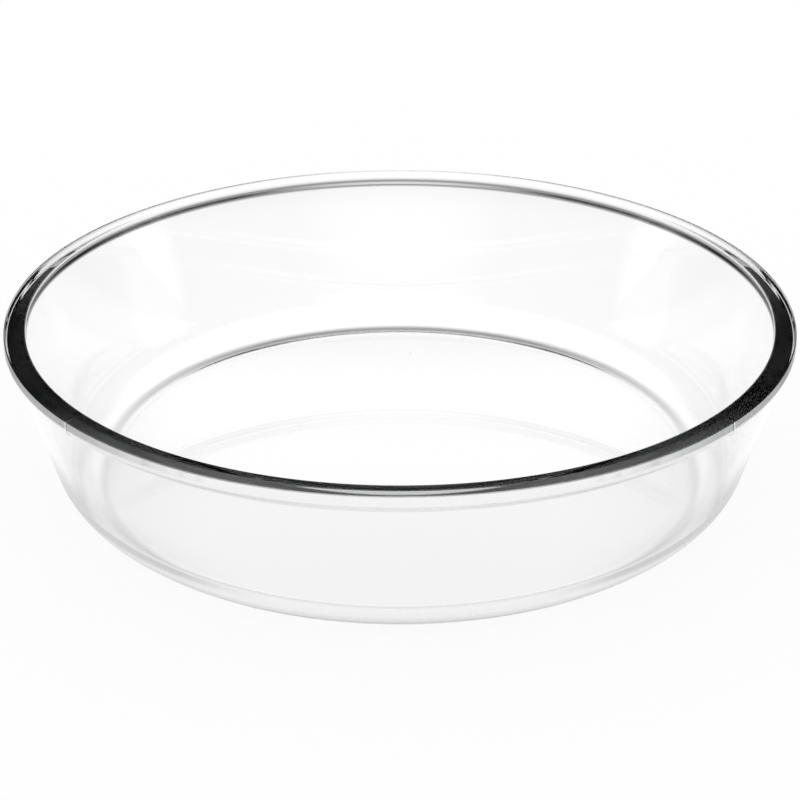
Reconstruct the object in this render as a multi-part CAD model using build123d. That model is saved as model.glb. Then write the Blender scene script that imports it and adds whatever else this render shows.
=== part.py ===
from build123d import *
import os
from math import cos, radians, tan

# A round baking dish pressed from one gob of clear glass.
# The origin is the centre of the plane it stands on, and +Z is its axis, towards the open mouth.
# Lengths are in millimetres and angles in degrees.

# Overall form: the height is that of the mouth's edge, the highest line of the dish
dish_diameter = 260.0
dish_height = 57.5
mould_lean = 15.7
plunger_lean = 14.2

# Rim: a collar that stands out past the wall, its top falling a little outwards from a level crest
rim_crest_width = 0.9
rim_top_fall = 0.3
rim_edge_height = 4.2
rim_overhang = 1.9
rim_underside_rise = 1.7
rim_outer_round = 1.2
rim_under_chamfer = 0.6
rim_root_chamfer = 1.1
wall_thickness_at_rim = 6.9

# Base: a thick floor that rests on a foot ring round a shallow recess
floor_thickness = 4.7
outer_corner_radius = 17.2
inner_corner_radius = 11.4
foot_ring_width = 1.6
foot_recess_depth = 0.3
foot_recess_slope = 2.6

os.makedirs("parts", exist_ok=True)


def wall_run(height, lean):
    """How far a wall that leans by so many degrees moves outwards over a height."""
    return height * tan(radians(lean))


def corner_run(radius, lean):
    """How far along the floor the round between it and a leaning wall reaches."""
    return radius * tan(radians(90 - lean) / 2)


def chamfered(before, corner, after, cut):
    """The two points that replace a corner when it is cut back by so much along both its sides."""
    corner = Vector(*corner)
    to_before = (Vector(*before) - corner).normalized() * cut
    to_after = (Vector(*after) - corner).normalized() * cut
    return (corner + to_before, 0), (corner + to_after, 0)


def make_glass_dish():
    """The section of the glass, drawn on one side of the axis and turned once about it."""
    rim_radius = dish_diameter / 2
    rim_edge_top = dish_height - rim_top_fall
    rim_edge_foot = rim_edge_top - rim_edge_height
    root_height = rim_edge_foot - rim_underside_rise

    # The mould shapes the outside: its wall starts under the collar and runs down to the base
    root_radius = rim_radius - rim_overhang
    mould_foot_radius = root_radius - wall_run(root_height, mould_lean)
    foot_outside = mould_foot_radius - corner_run(outer_corner_radius, mould_lean)
    recess_radius = foot_outside - foot_ring_width - foot_recess_slope

    # The plunger shapes the inside: its wall starts at the mouth and runs down to the floor
    level_wall_thickness = wall_thickness_at_rim / cos(radians(mould_lean))
    outside_at_top = root_radius + wall_run(rim_edge_top - root_height, mould_lean)
    mouth_radius = outside_at_top - level_wall_thickness
    plunger_foot_radius = mouth_radius - wall_run(dish_height - floor_thickness, plunger_lean)

    # Corners from the centre of the underside, out and up round the rim, and back in to the floor
    underside_centre = (0, foot_recess_depth)
    recess_edge = (recess_radius, foot_recess_depth)
    foot_inside = (recess_radius + foot_recess_slope, 0)
    outer_corner = (mould_foot_radius, 0)
    rim_root = (root_radius, root_height)
    rim_lower_edge = (rim_radius, rim_edge_foot)
    rim_upper_edge = (rim_radius, rim_edge_top)
    crest_edge = (mouth_radius + rim_crest_width, dish_height)
    mouth_edge = (mouth_radius, dish_height)
    inner_corner = (plunger_foot_radius, floor_thickness)
    floor_centre = (0, floor_thickness)
    corners_and_rounds = [
        (recess_edge, 0),
        (foot_inside, 0),
        (outer_corner, outer_corner_radius),
        *chamfered(outer_corner, rim_root, rim_lower_edge, rim_root_chamfer),
        *chamfered(rim_root, rim_lower_edge, rim_upper_edge, rim_under_chamfer),
        (rim_upper_edge, rim_outer_round),
        (crest_edge, 0),
        (mouth_edge, 0),
        (inner_corner, inner_corner_radius),
    ]
    corners = [corner for corner, _ in corners_and_rounds]
    rounds = [size for _, size in corners_and_rounds]
    surface = FilletPolyline(underside_centre, *corners, floor_centre, radius=rounds)
    axis_line = Line(floor_centre, underside_centre)
    section = Plane.XZ * make_face([*surface.edges(), axis_line])
    dish = revolve(section, Axis.Z)
    dish.label = "glass_dish"
    return dish


glass_dish = make_glass_dish()
export_step(glass_dish, "parts/glass_dish.step")
print("glass_dish", "volume in cubic centimetres", round(glass_dish.volume / 1000, 1))
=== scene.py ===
# %% [markdown]
# # A round dish of pressed clear glass
# The real object is one piece: a gob of molten glass drops into an iron mould, a plunger pushes it
# up the sides, and a flame rounds the edges afterwards. There is nothing to assemble, so all the
# work here goes into one section, one turn of a lathe, one honest glass and a light in which glass
# can be seen.

# %% Load the packed model as the frame
from math import atan, atan2, cos, pi, radians, sin, tan

import bmesh
import bpy
from mathutils import Matrix, Quaternion, Vector


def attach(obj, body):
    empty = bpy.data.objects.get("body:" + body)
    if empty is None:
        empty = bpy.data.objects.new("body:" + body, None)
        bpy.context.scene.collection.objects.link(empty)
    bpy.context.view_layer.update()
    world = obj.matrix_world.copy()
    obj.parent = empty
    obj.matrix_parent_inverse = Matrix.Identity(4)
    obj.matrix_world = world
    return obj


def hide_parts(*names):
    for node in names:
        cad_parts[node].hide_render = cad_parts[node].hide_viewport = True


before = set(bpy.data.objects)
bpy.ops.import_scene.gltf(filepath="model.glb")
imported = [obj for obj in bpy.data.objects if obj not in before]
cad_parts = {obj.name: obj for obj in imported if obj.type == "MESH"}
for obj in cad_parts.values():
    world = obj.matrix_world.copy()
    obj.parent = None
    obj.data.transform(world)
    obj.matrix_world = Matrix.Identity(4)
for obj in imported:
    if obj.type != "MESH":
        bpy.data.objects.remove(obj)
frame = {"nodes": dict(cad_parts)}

bpy.context.view_layer.update()

print("nodes in the frame:", ", ".join(frame["nodes"]))

# %% [markdown]
# ## Sizes
# The dish is drawn from the numbers a mould maker would be given: the diameter, the height, how
# much the mould and the plunger lean, how thick the floor is and how each edge is rounded. One
# factor turns the millimetres into Blender's metres. They follow the solid model to about half a
# millimetre: the rim, the wall under it and the foot's edges are drawn finer here. The rim's top
# has a shoulder between a nearly level inner zone and an outer slope, and those two zones split
# its dark band in the picture.

# %% Name the sizes of the dish
MM = 0.001
DISH_DIAMETER = 260.0 * MM
DISH_HEIGHT = 57.5 * MM

RIM_EDGE_HEIGHT = 4.0 * MM
RIM_UNDERSIDE_RISE = 1.79 * MM
RIM_OVERHANG = 2.2 * MM
RIM_EDGE_DRAFT = 0.43 * MM
RIM_SHOULDER_WIDTH = 3.3 * MM
RIM_SHOULDER_FALL = 0.49 * MM
RIM_MOUTH_FALL = 0.31 * MM
RIM_OUTER_ROUND = 0.54 * MM
RIM_SHOULDER_ROUND = 3.3 * MM
RIM_UNDER_ROUND = 2.36 * MM
RIM_MOUTH_ROUND = 0.85 * MM
RIM_ROOT_FILLET = 1.93 * MM

MOULD_LEAN = radians(15.7)
PLUNGER_LEAN = radians(14.2)
WALL_THICKNESS_AT_RIM = 6.44 * MM

FLOOR_THICKNESS = 4.7 * MM
OUTER_CORNER_RADIUS = 17.2 * MM
INNER_CORNER_RADIUS = 11.4 * MM
FOOT_RING_WIDTH = 1.6 * MM
FOOT_RECESS_DEPTH = 0.3 * MM
FOOT_RECESS_SLOPE = 2.6 * MM
FOOT_RECESS_ROUND = 8.0 * MM

# %% Work out the corners of the glass section
rim_radius = DISH_DIAMETER / 2
rim_underside = DISH_HEIGHT - RIM_EDGE_HEIGHT
root_height = rim_underside - RIM_UNDERSIDE_RISE
root_radius = rim_radius - RIM_OVERHANG
mould_foot_radius = root_radius - root_height * tan(MOULD_LEAN)
foot_outside = mould_foot_radius - OUTER_CORNER_RADIUS * tan((pi / 2 - MOULD_LEAN) / 2)
recess_radius = foot_outside - FOOT_RING_WIDTH - FOOT_RECESS_SLOPE
level_wall_thickness = WALL_THICKNESS_AT_RIM / cos(MOULD_LEAN)
mouth_radius = root_radius + (DISH_HEIGHT - root_height) * tan(MOULD_LEAN) - level_wall_thickness
mouth_height = DISH_HEIGHT - RIM_MOUTH_FALL
plunger_foot_radius = mouth_radius - (mouth_height - FLOOR_THICKNESS) * tan(PLUNGER_LEAN)

UNDERSIDE_CENTRE = Vector((0, 0, FOOT_RECESS_DEPTH))
FLOOR_CENTRE = Vector((0, 0, FLOOR_THICKNESS))
SECTION_CORNERS = [
    (recess_radius, FOOT_RECESS_DEPTH, FOOT_RECESS_ROUND),
    (recess_radius + FOOT_RECESS_SLOPE, 0, FOOT_RECESS_ROUND),
    (mould_foot_radius, 0, OUTER_CORNER_RADIUS),
    (root_radius, root_height, RIM_ROOT_FILLET),
    (rim_radius, rim_underside, RIM_UNDER_ROUND),
    (rim_radius - RIM_EDGE_DRAFT, DISH_HEIGHT - RIM_SHOULDER_FALL, RIM_OUTER_ROUND),
    (rim_radius - RIM_SHOULDER_WIDTH, DISH_HEIGHT, RIM_SHOULDER_ROUND),
    (mouth_radius, mouth_height, RIM_MOUTH_ROUND),
    (plunger_foot_radius, FLOOR_THICKNESS, INNER_CORNER_RADIUS),
]
for radius, height, _ in SECTION_CORNERS:
    print("corner at radius %.1f mm, height %.1f mm" % (radius / MM, height / MM))

# %% [markdown]
# ## Drawing the section with a pen
# A glass edge shows every flaw in its outline, because light bends at it twice. So the section
# isn't sketched by eye: a pen walks round it, and pulls its last vertex along each straight run
# with an extrusion and round each corner with a spin about the corner's own centre. That gives
# true arcs.

# %% Make the pen that draws the section
HOLD = 0.25 * MM
ARC_STEP = radians(4)
FEWEST_ARC_STEPS = 4


class SectionPen:
    """Draws half of the section in the XZ plane, one vertex after another."""

    def __init__(self, start):
        self.mesh = bmesh.new()
        self.tip = bmesh.ops.create_vert(self.mesh, co=start)["vert"][0]

    def run_to(self, end):
        """A straight run, with a short stretch held at both ends to keep its shading flat."""
        start = self.tip.co.copy()
        along = end - start
        hold = min(HOLD, along.length / 3)
        for stop in (start + along.normalized() * hold, end - along.normalized() * hold, end):
            new = bmesh.ops.extrude_vert_indiv(self.mesh, verts=[self.tip])["verts"][0]
            new.co = stop
            self.tip = new

    def bend(self, centre, turn, radius):
        """An arc about its centre, in steps small enough for its size."""
        wanted = abs(turn) / ARC_STEP * (1 + radius / OUTER_CORNER_RADIUS)
        steps = max(FEWEST_ARC_STEPS, round(wanted))
        spun = bmesh.ops.spin(
            self.mesh, geom=[self.tip], cent=centre, axis=(0, 1, 0), angle=turn, steps=steps
        )
        self.tip = next(part for part in spun["geom_last"] if isinstance(part, bmesh.types.BMVert))


def draw_section(start, corners, end):
    """The pen's whole walk: straight to each corner's tangent point, then round the corner."""
    pen = SectionPen(start)
    points = [start] + [Vector((x, 0, z)) for x, z, _ in corners] + [end]
    for before, corner, after, (_, _, radius) in zip(points, points[1:], points[2:], corners):
        inward = (corner - before).normalized()
        outward = (after - corner).normalized()
        turn = atan2(outward.cross(inward).y, inward.dot(outward)) * -1
        reach = radius * tan(abs(turn) / 2)
        pen.run_to(corner - inward * reach)
        side = Vector((-inward.z, 0, inward.x)) * (1 if turn < 0 else -1)
        pen.bend(corner - inward * reach + side * radius, turn, radius)
    pen.run_to(end)
    return pen.mesh


section = draw_section(UNDERSIDE_CENTRE, SECTION_CORNERS, FLOOR_CENTRE)
print("vertices along the section:", len(section.verts))
widest = max(vert.co.x for vert in section.verts)
print("widest point of the section: %.2f mm" % (widest / MM))

# %% [markdown]
# ## One third of a turn, three times
# The dish is as round as its mould, so the section is spun about the upright axis. One third is
# spun and copied twice, which is far quicker than a full turn in one go. Three steps in every two
# degrees keep the outline free of corners even where the rim is seen edge on. Where the thirds
# meet, and at the two ends of the section on the axis, doubled vertices are merged.

# %% Turn the section into the dish
TURN_STEPS = 540
THIRDS = 3
FIRST_JOIN = radians(90)
MERGE_DISTANCE = 0.001 * MM

third_angle = 2 * pi / THIRDS
bmesh.ops.rotate(section, verts=section.verts, matrix=Matrix.Rotation(FIRST_JOIN, 3, "Z"))
bmesh.ops.spin(
    section, geom=section.verts[:] + section.edges[:], cent=(0, 0, 0), axis=(0, 0, 1),
    angle=third_angle, steps=TURN_STEPS // THIRDS,
)
first_third = section.verts[:] + section.edges[:] + section.faces[:]
for number in range(1, THIRDS):
    copied = bmesh.ops.duplicate(section, geom=first_third)["geom"]
    copied_verts = [part for part in copied if isinstance(part, bmesh.types.BMVert)]
    turn = Matrix.Rotation(third_angle * number, 3, "Z")
    bmesh.ops.rotate(section, verts=copied_verts, matrix=turn)
bmesh.ops.remove_doubles(section, verts=section.verts, dist=MERGE_DISTANCE)
bmesh.ops.recalc_face_normals(section, faces=section.faces)
for face in section.faces:
    face.smooth = True
print("faces round the dish:", len(section.faces))

# %% [markdown]
# ## What the mould and the melt leave behind
# A ring closes the mould round the rim, and where its parts meet, a hair of glass creeps into the
# joint. It stays as a very fine ridge over the rim's edge, about fifty degrees to either side of
# the front. Three close cuts with a plane give each ridge its two feet and its crest, and the
# crest is then lifted along the normals. A tiny bubble, which glass makers call a seed, has been
# trapped in the floor. It is a closed skin with its faces turned towards the air inside it, so it
# bends light as a bubble does.

# %% Raise the seams of the rim
SEAM_TURN = radians(49.5)
SEAM_WIDTH = 0.3 * MM
SEAM_HEIGHT = 0.1 * MM
SEAM_REACH = 4.0 * MM
seam_inner_end = rim_radius - RIM_SHOULDER_WIDTH


def rim_parts(outwards, aside):
    """The rim's faces close to a seam, with their edges and vertices."""
    parts = set()
    for face in section.faces:
        middle = face.calc_center_median()
        on_rim = middle.dot(outwards) > seam_inner_end and middle.z > root_height
        if on_rim and abs(middle.dot(aside)) < SEAM_REACH:
            parts.update((face, *face.edges, *face.verts))
    return list(parts)


for side_of_front in (-1, 1):
    turn = SEAM_TURN * side_of_front
    outwards = Vector((sin(turn), -cos(turn), 0))
    aside = Vector((cos(turn), sin(turn), 0))
    for cut in (-1, 1, 0):
        cut_place = aside * (cut * SEAM_WIDTH / 2)
        sliced = bmesh.ops.bisect_plane(
            section, geom=rim_parts(outwards, aside), plane_co=cut_place, plane_no=aside
        )
    cut_verts = [part for part in sliced["geom_cut"] if isinstance(part, bmesh.types.BMVert)]
    crest_starts = seam_inner_end + RIM_MOUTH_ROUND
    crest = [vert for vert in cut_verts if vert.co.dot(outwards) > crest_starts]
    section.normal_update()
    for vert in crest:
        vert.co += vert.normal * SEAM_HEIGHT
    print("vertices along the seam's crest:", len(crest))

# %% Leave a seed in the floor
SEED_RADIUS = 0.3 * MM
SEED_PLACE = (3.8 * MM, 76.0 * MM, FLOOR_THICKNESS / 2)
SEED_SUBDIVISIONS = 2

seed = bmesh.ops.create_icosphere(
    section, subdivisions=SEED_SUBDIVISIONS, radius=SEED_RADIUS,
    matrix=Matrix.Translation(SEED_PLACE),
)
seed_faces = {face for vert in seed["verts"] for face in vert.link_faces}
bmesh.ops.reverse_faces(section, faces=list(seed_faces))
for face in seed_faces:
    face.smooth = True
print("the seed is %.1f mm across" % (2 * SEED_RADIUS / MM))

# %% Hand the finished dish over
dish_mesh = bpy.data.meshes.new("pressed_dish")
section.to_mesh(dish_mesh)
section.free()
dish = bpy.data.objects.new("pressed_dish", dish_mesh)
bpy.context.collection.objects.link(dish)
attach(dish, "root")
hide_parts("glass_dish")
triangles = sum(len(face.vertices) - 2 for face in dish_mesh.polygons)
print("triangles in the dish:", triangles)

# %% [markdown]
# ## A small language for shaders
# Node trees are hard to read as lists of links. One class wraps a socket, so that a mask or a mix
# can be written as a sum, and one method makes any other node from its settings and its inputs.

# %% Wrap a socket so that sums make nodes
class Socket:
    """An output of a node tree that can be added, multiplied and passed on."""

    def __init__(self, tree, out):
        self.tree = tree
        self.out = out

    def node(self, kind, out=0, settings=None, **inputs):
        """Adds a node. Its settings come first, then its inputs, named or by number as i0, i1."""
        new = self.tree.nodes.new(kind)
        for name, value in (settings or {}).items():
            setattr(new, name, value)
        for name, value in inputs.items():
            key = int(name[1:]) if name[0] == "i" and name[1:].isdigit() else name.replace("_", " ")
            socket = new.inputs[key]
            if isinstance(value, Socket):
                self.tree.links.new(value.out, socket)
            else:
                socket.default_value = value
        return Socket(self.tree, new.outputs[out]) if new.outputs else None

    def sister(self, name):
        """Another output of the same node."""
        return Socket(self.tree, self.out.node.outputs[name])

    def maths(self, operation, first, second=0.0):
        """One sum of any kind that the maths node knows."""
        return self.node("ShaderNodeMath", settings={"operation": operation}, i0=first, i1=second)

    def __add__(self, other):
        return self.maths("ADD", self, other)

    def __mul__(self, other):
        return self.maths("MULTIPLY", self, other)

    def __truediv__(self, other):
        return self.maths("DIVIDE", self, other)

    def __rsub__(self, other):
        return self.maths("SUBTRACT", other, self)

    __radd__ = __add__
    __rmul__ = __mul__

    def step(self, low, high):
        """A mask that rises smoothly from 0 at low to 1 at high."""
        smooth = {"interpolation_type": "SMOOTHSTEP"}
        return self.node(
            "ShaderNodeMapRange", settings=smooth, Value=self, From_Min=low, From_Max=high
        )

    def band(self, starts, full, fades, ends):
        """A mask that rises from 0 to 1, stays there and falls back to 0."""
        return self.step(starts, full) * (1 - self.step(fades, ends))


def blend(first, second, share):
    """Goes from the first value to the second as the share goes from 0 to 1."""
    return first * (1 - share) + second * share


def start_tree(owner):
    """Empties the node tree of a material or a world and gives a socket to begin with."""
    owner.use_nodes = True
    owner.node_tree.nodes.clear()
    return Socket(owner.node_tree, None)


def bent_ray(start):
    """1 for the rays that glass has bent or mirrored, and 0 for all others."""
    mirrored = start.node("ShaderNodeLightPath", out="Is Glossy Ray")
    return mirrored.maths("MAXIMUM", mirrored, mirrored.sister("Is Transmission Ray"))


print("ways to make nodes:", [name for name in vars(Socket) if not name.startswith("_")])

# %% [markdown]
# ## Clear pressed glass
# Glass is a clear body with a smooth skin, so its look is nearly all in its shape and
# surroundings. What is left for the material is how strongly it bends light, the faint grey that a
# long way through the glass adds, and the small unevenness of a surface that has touched iron:
# very shallow waves from the mould's chill, and a skin that is not polished quite evenly. All of
# them follow the object's own coordinates, so the marks stay put whichever side the dish is seen
# from.

# %% Mix the glass
GLASS_IOR = 1.472
GLASS_COLOUR = (1.0, 1.0, 1.0, 1)
GLASS_TINT = (0.899, 0.900, 0.901, 1)
TINT_DENSITY = 100.0
CHILL_WAVE_SCALE = 26.0
CHILL_WAVE_DETAIL = 1.0
CHILL_WAVE_HEIGHT = 0.006 * MM
HAZE_SCALE = 9.0
HAZE_DETAIL = 2.0
HAZE_STARTS, HAZE_ENDS = 0.45, 0.8
HAZE_MOST = 0.012

glass = bpy.data.materials.new("clear_pressed_glass")
start = start_tree(glass)
place = start.node("ShaderNodeTexCoord", out="Object")
haze = start.node("ShaderNodeTexNoise", Vector=place, Scale=HAZE_SCALE, Detail=HAZE_DETAIL)
waves = start.node(
    "ShaderNodeTexNoise", Vector=place, Scale=CHILL_WAVE_SCALE, Detail=CHILL_WAVE_DETAIL
)
uneven = start.node("ShaderNodeBump", Height=waves, Strength=1.0, Distance=CHILL_WAVE_HEIGHT)
body = start.node(
    "ShaderNodeBsdfPrincipled", Base_Color=GLASS_COLOUR, IOR=GLASS_IOR, Transmission_Weight=1.0,
    Roughness=haze.step(HAZE_STARTS, HAZE_ENDS) * HAZE_MOST, Normal=uneven,
)
tint = start.node("ShaderNodeVolumeAbsorption", Color=GLASS_TINT, Density=TINT_DENSITY)
start.node("ShaderNodeOutputMaterial", Surface=body, Volume=tint)
dish_mesh.materials.append(glass)
print("glass bends light by", GLASS_IOR)

# %% [markdown]
# ## A white table in a dark room
# Clear glass in an evenly white room disappears, and on black it glows. A maker who wants its
# edges drawn in black on white sets it on a small white table and leaves the rest of the room
# dark. Then the faces, which bend light only a little, show the table, and the edges, which bend
# it a lot, show the dark. The floor here is a wide plain disc. A hair of air stays between it and
# the foot ring, because two skins in one place would confuse the rays.

# %% Lay the floor
FLOOR_RADIUS = 4.0
FLOOR_SEGMENTS = 96
FLOOR_GAP = 0.05 * MM

disc = bmesh.new()
bmesh.ops.create_circle(disc, cap_ends=True, segments=FLOOR_SEGMENTS, radius=FLOOR_RADIUS)
floor_mesh = bpy.data.meshes.new("studio_floor")
disc.to_mesh(floor_mesh)
disc.free()
floor = bpy.data.objects.new("studio_floor", floor_mesh)
bpy.context.collection.objects.link(floor)
floor.location.z = -FLOOR_GAP
print("air under the foot ring: %.2f mm" % (FLOOR_GAP / MM))

# %% [markdown]
# ## How white the glass sees the table
# To the eye the floor is white all over, and a tenth of it is matt white, which takes the dish's
# soft shadow. To the glass it is white as far as the table reaches, with painted shade that dims it
# under the front of the dish and painted light that brightens it under the back. A level over 1 is
# brighter than the white that the eye sees. Past the table's edge the floor turns black to the
# sides and dim behind, and stays white in front. It is shaded in a ring under the foot and, on the
# near side, under the leaning wall, as a real table is where the dish keeps the light off it. Those
# shades draw the foot's arc and the dish's lower outline. All of them are masks on the reach from
# the dish's axis, on the depth towards the back, and on how far round towards the back a place
# lies, from -1 in front to 1 behind.

# %% Name the levels of the table
TABLE_LEVEL = 1.09
# Painted shade dims the table under the front of the dish, and painted light brightens it under the
# back.
SHADED_LEVEL_UNDER_FRONT, LIT_LEVEL_UNDER_BACK = 0.97, 1.15
LEVEL_DEPTH = 100.0 * MM
UNDER_DISH_ENDS, ROUND_DISH_STARTS = 105.0 * MM, 125.0 * MM

TABLE_EDGE_STARTS, TABLE_EDGE_ENDS = 232.0 * MM, 412.0 * MM
BEYOND_TABLE_BEHIND = 0.35
BEYOND_TABLE_IN_FRONT = 1.1
BEYOND_TABLE_FULL = 0.9

FOOT_SHADE_IN_FRONT, FOOT_SHADE_BEHIND = 0.17, 0.72
FOOT_SHADE_STARTS, FOOT_SHADE_DEEPEST, FOOT_SHADE_ENDS = 97.5 * MM, 99.8 * MM, 104.5 * MM
FOOT_SHADE_DEPTH = 100.0 * MM

WALL_SHADE = 0.33
WALL_SHADE_STARTS, WALL_SHADE_FULL = 108.0 * MM, 112.0 * MM
WALL_SHADE_FADES, WALL_SHADE_ENDS = 120.0 * MM, 135.0 * MM
WALL_SHADE_NEAR, WALL_SHADE_FAR = -40.0 * MM, 40.0 * MM
WALL_SHADE_TURN_STARTS, WALL_SHADE_TURN_ENDS = -0.95, -0.75

print("the table fades from %.0f mm to %.0f mm" % (TABLE_EDGE_STARTS / MM, TABLE_EDGE_ENDS / MM))

# %% Paint the table
FLOOR_GLOW_SHARE = 0.9
FLOOR_COLOUR = (0.97, 0.97, 0.97, 1)

paper = bpy.data.materials.new("white_table")
start = start_tree(paper)
place = start.node("ShaderNodeTexCoord", out="Object")
reach = start.node("ShaderNodeVectorMath", out="Value", settings={"operation": "LENGTH"}, i0=place)
depth = start.node("ShaderNodeSeparateXYZ", out="Y", Vector=place)
behind = depth / reach

# Painted shade under the front of the dish and painted light under its back, seen only through the
# glass.
painted_light_and_shade_under_dish = blend(SHADED_LEVEL_UNDER_FRONT, LIT_LEVEL_UNDER_BACK, depth.step(-LEVEL_DEPTH, LEVEL_DEPTH))
near = blend(painted_light_and_shade_under_dish, TABLE_LEVEL, reach.step(UNDER_DISH_ENDS, ROUND_DISH_STARTS))
far_behind = BEYOND_TABLE_BEHIND * behind.step(0.0, BEYOND_TABLE_FULL)
far_in_front = BEYOND_TABLE_IN_FRONT * (behind * -1).step(0.0, BEYOND_TABLE_FULL)
open_level = blend(near, far_behind + far_in_front, reach.step(TABLE_EDGE_STARTS, TABLE_EDGE_ENDS))

foot_ring = reach.band(FOOT_SHADE_STARTS, FOOT_SHADE_DEEPEST, FOOT_SHADE_DEEPEST, FOOT_SHADE_ENDS)
foot_shade = blend(FOOT_SHADE_IN_FRONT, FOOT_SHADE_BEHIND, depth.step(0.0, FOOT_SHADE_DEPTH))
wall_ring = reach.band(WALL_SHADE_STARTS, WALL_SHADE_FULL, WALL_SHADE_FADES, WALL_SHADE_ENDS)
near_half = 1 - depth.step(WALL_SHADE_NEAR, WALL_SHADE_FAR)
off_front = behind.step(WALL_SHADE_TURN_STARTS, WALL_SHADE_TURN_ENDS)
shade = foot_shade * foot_ring + WALL_SHADE * wall_ring * near_half * off_front

seen = start.node("ShaderNodeLightPath", out="Is Camera Ray")
glow = start.node("ShaderNodeEmission", Color=blend(open_level * (1 - shade), 1, seen))
matt = start.node("ShaderNodeBsdfDiffuse", Color=FLOOR_COLOUR)
glow_share = FLOOR_GLOW_SHARE * seen + bent_ray(start)
both = start.node("ShaderNodeMixShader", i0=glow_share, i1=matt, i2=glow)
start.node("ShaderNodeOutputMaterial", Surface=both)
floor_mesh.materials.append(paper)
print("nodes in the table's tree:", len(paper.node_tree.nodes))

# %% [markdown]
# ## Light for glass
# Over the table hangs a wide soft light. A window stands in front, a low lamp on either side, and
# behind the dish a narrow strip with a slit of light under it. They draw the bright lines along
# the rim, and the dusk between them draws the black ones. The world holds them as soft masks on
# how far up a ray goes and on how it faces, from -1 to the front to 1 to the back. The eye and
# matt surfaces see an evenly white room instead, so the paper stays white and the shadow soft.
# Only what the glass bends or mirrors sees the dusk and the lights.

# %% Name the lights of the room
DUSK = 0.01

OVERHEAD = 1.5
OVERHEAD_STARTS, OVERHEAD_ENDS = 0.522, 0.755
OVERHEAD_LOSS_IN_FRONT = 0.3
OVERHEAD_LOSS_STARTS, OVERHEAD_LOSS_ENDS = -0.5, 0.7

WINDOW = 1.4
WINDOW_STARTS, WINDOW_ENDS = 0.8, 1.0
WINDOW_SILL_STARTS, WINDOW_SILL_ENDS = 0.134, 0.18

SIDE_LAMPS = 1.185
SIDE_LAMPS_TURN_STARTS, SIDE_LAMPS_TURN_ENDS = 0.107, 0.213
SIDE_LAMPS_TOP_STARTS, SIDE_LAMPS_TOP_ENDS = 0.182, 0.304

STRIP = 1.08
STRIP_STARTS, STRIP_ENDS = 0.973, 0.9965
STRIP_FOOT_STARTS, STRIP_FOOT_ENDS = 0.41, 0.48

SLIT = 1.28
SLIT_STARTS, SLIT_ENDS = 0.992, 1.006
SLIT_TOP_STARTS, SLIT_TOP_ENDS = 0.288, 0.36

print("the overhead light starts where a ray's upward share is", OVERHEAD_STARTS)

# %% Build the room
LEAST_LEVEL_REACH = 0.0001


def room_light(start):
    """How bright the room is in each direction."""
    direction = start.node("ShaderNodeTexCoord", out="Generated")
    across = start.node("ShaderNodeSeparateXYZ", Vector=direction)
    ahead, up = across.sister("Y"), across.sister("Z")
    level_reach = across.maths("SQRT", across * across + ahead * ahead) + LEAST_LEVEL_REACH
    facing = ahead / level_reach
    to_front = facing * -1
    off_side = facing.maths("ABSOLUTE", facing)

    overhead = up.step(OVERHEAD_STARTS, OVERHEAD_ENDS)
    loss = OVERHEAD_LOSS_IN_FRONT * to_front.step(OVERHEAD_LOSS_STARTS, OVERHEAD_LOSS_ENDS)
    window = to_front.step(WINDOW_STARTS, WINDOW_ENDS)
    over_sill = up.step(WINDOW_SILL_STARTS, WINDOW_SILL_ENDS)
    side_lamps = 1 - off_side.step(SIDE_LAMPS_TURN_STARTS, SIDE_LAMPS_TURN_ENDS)
    under_lamp_top = 1 - up.step(SIDE_LAMPS_TOP_STARTS, SIDE_LAMPS_TOP_ENDS)
    strip = facing.step(STRIP_STARTS, STRIP_ENDS)
    over_strip_foot = up.step(STRIP_FOOT_STARTS, STRIP_FOOT_ENDS)
    slit = facing.step(SLIT_STARTS, SLIT_ENDS)
    under_slit_top = 1 - up.step(SLIT_TOP_STARTS, SLIT_TOP_ENDS)

    around = WINDOW * window * over_sill + SIDE_LAMPS * side_lamps * under_lamp_top
    around = around + STRIP * strip * over_strip_foot + SLIT * slit * under_slit_top
    return DUSK + overhead * (OVERHEAD - loss) + around * (1 - overhead)


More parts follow.
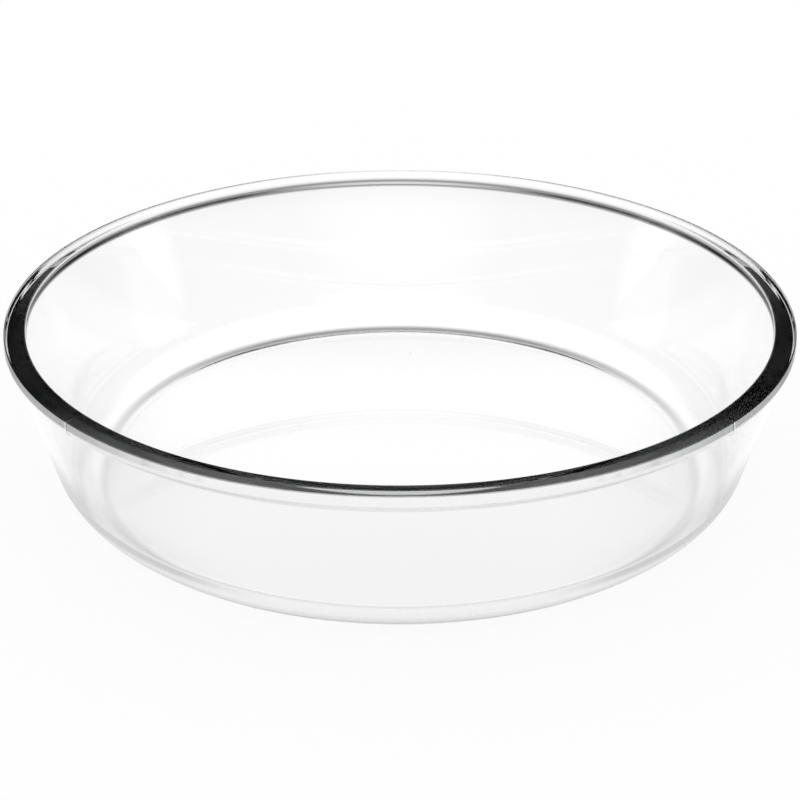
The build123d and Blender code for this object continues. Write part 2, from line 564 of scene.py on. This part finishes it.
world = bpy.data.worlds.new("glass_studio")
bpy.context.scene.world = world
start = start_tree(world)
sight = blend(1, room_light(start), bent_ray(start))
lit = start.node("ShaderNodeBackground", Color=sight)
start.node("ShaderNodeOutputWorld", Surface=lit)
print("nodes in the world's tree:", len(world.node_tree.nodes))

# %% [markdown]
# ## The camera
# The picture looks down into the dish from a little above its rim, with a long lens, so the front
# and the back of the rim are nearly the same size. Light that has entered the rim is mirrored
# inside it seven times and more before it leaves, so the rays are given enough bounces to come out
# again.

# %% Set the camera
CAMERA_RISE = radians(23.934)
CAMERA_DISTANCE = 5.293 * rim_radius
FOCAL_PIXELS = 2075.0
RIM_CENTRE_ROW = 304.7
FRAME_PIXELS = 800
SENSOR_WIDTH = 36
CLIP_NEAR, CLIP_FAR = 0.01, 50
MOST_BOUNCES = 40

lens = bpy.data.cameras.new("camera")
lens.sensor_width = SENSOR_WIDTH
lens.lens = SENSOR_WIDTH * FOCAL_PIXELS / FRAME_PIXELS
lens.clip_start, lens.clip_end = CLIP_NEAR, CLIP_FAR
camera = bpy.data.objects.new("camera", lens)
bpy.context.collection.objects.link(camera)
rim_centre = Vector((0, 0, DISH_HEIGHT))
outwards = Vector((0, -cos(CAMERA_RISE), sin(CAMERA_RISE)))
camera.location = rim_centre + outwards * CAMERA_DISTANCE
below_rim = atan((FRAME_PIXELS / 2 - RIM_CENTRE_ROW) / FOCAL_PIXELS)
at_rim_centre = (-outwards).to_track_quat("-Z", "Y")
camera.rotation_mode = "QUATERNION"
camera.rotation_quaternion = at_rim_centre @ Quaternion((1, 0, 0), -below_rim)
bpy.context.scene.camera = camera
for bounce_limit in ("max_bounces", "glossy_bounces", "transmission_bounces"):
    setattr(bpy.context.scene.cycles, bounce_limit, MOST_BOUNCES)
print("lens in millimetres:", round(lens.lens, 1))

# %% [markdown]
# ## The view
# The picture is shown through the plain standard view transform.

# %% Set the view and finish
bpy.context.scene.view_settings.view_transform = "Standard"
bpy.context.view_layer.update()
